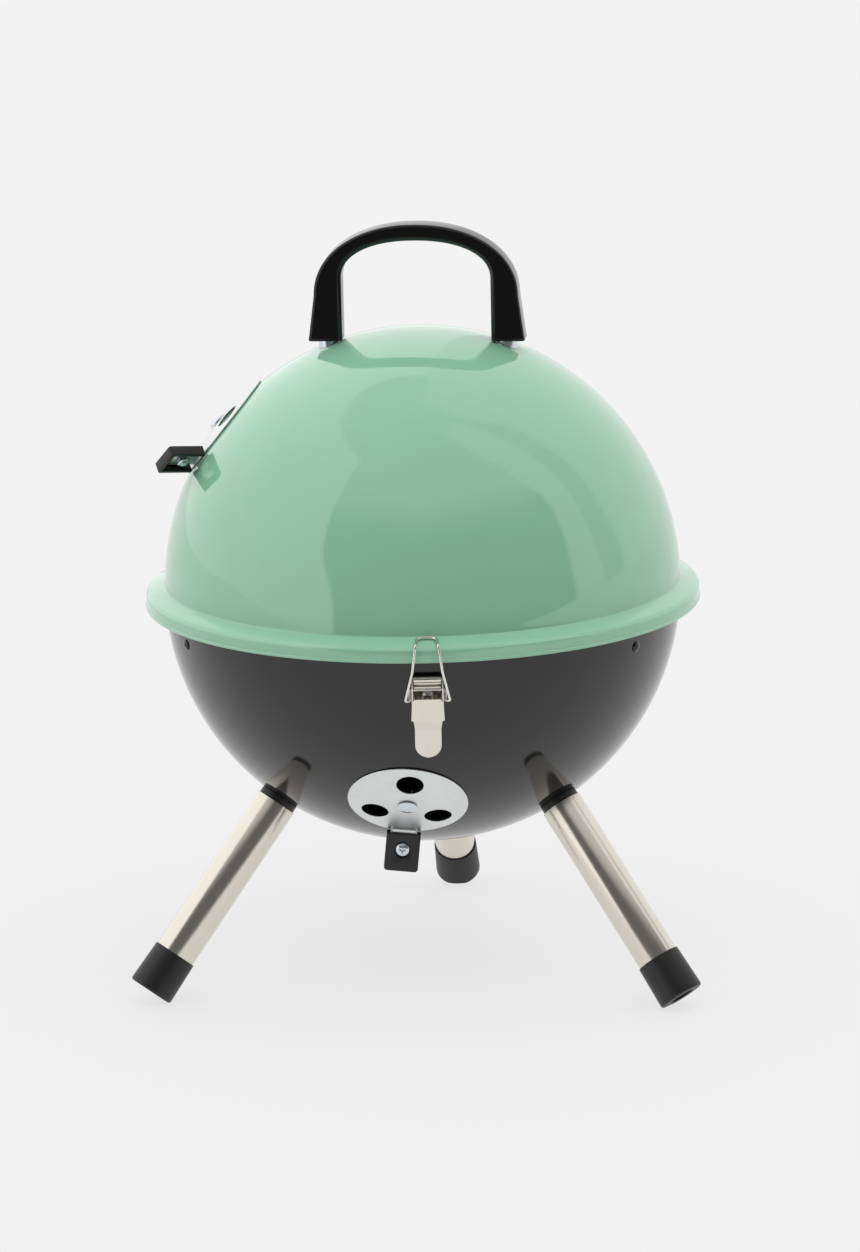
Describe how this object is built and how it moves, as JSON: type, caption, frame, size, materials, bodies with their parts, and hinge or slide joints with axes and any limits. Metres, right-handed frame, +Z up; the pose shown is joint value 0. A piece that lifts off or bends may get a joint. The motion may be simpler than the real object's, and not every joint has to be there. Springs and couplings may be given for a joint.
{
  "type": "kettle charcoal grill",
  "caption": "Portable round kettle charcoal grill with a domed flanged lid, vented bowl, toggle latches, arched carry handle and splayed tube legs.",
  "frame": {"origin": "on the floor, at the middle of the object's outline seen from above; the kettle's upright axis stands 12 mm in front of it", "axes": "+Z up, -Y the front with the bowl's vent and one latch, the handle's arch along X, the lid's vent towards -X"},
  "size_m": [0.3388, 0.3622, 0.4558],
  "materials": {
    "enamel_black": "gloss enamel",
    "enamel_mint": "gloss enamel",
    "leg_steel": "bright, fine grained",
    "black_plastic": "semi-gloss",
    "bolt_steel": "bright plated",
    "bracket_steel": "plain",
    "zinc": "zinc plated, satin",
    "nickel": "nickel plated",
    "grate_steel": "plated wire"
  },
  "bodies": {
    "bowl": {"bowl_shell": "enamel_black", "leg_tube_left": "leg_steel", "leg_tube_right": "leg_steel", "leg_tube_rear": "leg_steel", "leg_plug_left": "black_plastic", "leg_plug_right": "black_plastic", "leg_plug_rear": "black_plastic", "leg_cap_left": "black_plastic", "leg_cap_right": "black_plastic", "leg_cap_rear": "black_plastic", "leg_bolts": "bolt_steel", "grate_brackets": "bracket_steel", "bracket_rivets": "bolt_steel", "latch_plate_front": "nickel", "latch_plate_right": "nickel", "latch_plate_left": "nickel", "latch_screws": "bolt_steel", "bowl_vent_rivet": "zinc"},
    "lid": {"lid_shell": "enamel_mint", "handle": "black_plastic", "handle_spacers": "bolt_steel", "handle_screws": "bolt_steel", "lid_vent_rivet": "zinc"},
    "lid_damper": {"lid_damper_disc": "zinc", "lid_damper_tab": "black_plastic", "lid_damper_screw": "bolt_steel"},
    "bowl_damper": {"bowl_damper_disc": "zinc", "bowl_damper_tab": "black_plastic", "bowl_damper_screw": "bolt_steel"},
    "lever_front": {"latch_lever_front": "nickel"},
    "lever_right": {"latch_lever_right": "nickel"},
    "lever_left": {"latch_lever_left": "nickel"},
    "bail_front": {"latch_bail_front": "nickel"},
    "bail_right": {"latch_bail_right": "nickel"},
    "bail_left": {"latch_bail_left": "nickel"},
    "cooking_grate": {"cooking_grate": "grate_steel"},
    "charcoal_grate": {"charcoal_grate": "grate_steel"}
  },
  "joints": [
    {"name": "lid_lift", "type": "slide", "parent": "bowl", "child": "lid", "axis": [0, 0, 1], "range_m": [0, 0.24]},
    {"name": "lid_damper_turn", "type": "hinge", "parent": "lid", "child": "lid_damper", "pos_m": [-0.12184, -0.012, 0.33602], "axis": [-0.776, 0, 0.6307], "range_deg": [-60, 60]},
    {"name": "bowl_damper_turn", "type": "hinge", "parent": "bowl", "child": "bowl_damper", "pos_m": [0, -0.12436, 0.12735], "axis": [0, -0.7157, -0.6984], "range_deg": [-60, 60]},
    {"name": "lever_front_open", "type": "hinge", "parent": "bowl", "child": "lever_front", "pos_m": [0.01773, -0.16757, 0.21594], "axis": [-0.9936, -0.1132, 0], "range_deg": [0, 94]},
    {"name": "bail_front_tip", "type": "hinge", "parent": "lever_front", "child": "bail_front", "pos_m": [0.01783, -0.16849, 0.20999], "axis": [-0.9936, -0.1132, 0], "range_deg": [-106, 0]},
    {"name": "lever_right_open", "type": "hinge", "parent": "bowl", "child": "lever_right", "pos_m": [0.12587, 0.08113, 0.21594], "axis": [0.5948, -0.8039, 0], "range_deg": [0, 94]},
    {"name": "bail_right_tip", "type": "hinge", "parent": "lever_right", "child": "bail_right", "pos_m": [0.12661, 0.08168, 0.20999], "axis": [0.5948, -0.8039, 0], "range_deg": [-106, 0]},
    {"name": "lever_left_open", "type": "hinge", "parent": "bowl", "child": "lever_left", "pos_m": [-0.14359, 0.05044, 0.21594], "axis": [0.3987, 0.9171, 0], "range_deg": [0, 94]},
    {"name": "bail_left_tip", "type": "hinge", "parent": "lever_left", "child": "bail_left", "pos_m": [-0.14444, 0.0508, 0.20999], "axis": [0.3987, 0.9171, 0], "range_deg": [-106, 0]},
    {"name": "cooking_grate_lift", "type": "slide", "parent": "bowl", "child": "cooking_grate", "axis": [0, 0, 1], "range_m": [0, 0.04]},
    {"name": "charcoal_grate_lift", "type": "slide", "parent": "bowl", "child": "charcoal_grate", "axis": [0, 0, 1], "range_m": [0, 0.05]}
  ],
  "couplings": [
    {"joint": "bail_front_tip", "follows": "lever_front_open", "ratio": -1.12},
    {"joint": "bail_right_tip", "follows": "lever_right_open", "ratio": -1.12},
    {"joint": "bail_left_tip", "follows": "lever_left_open", "ratio": -1.12}
  ]
}
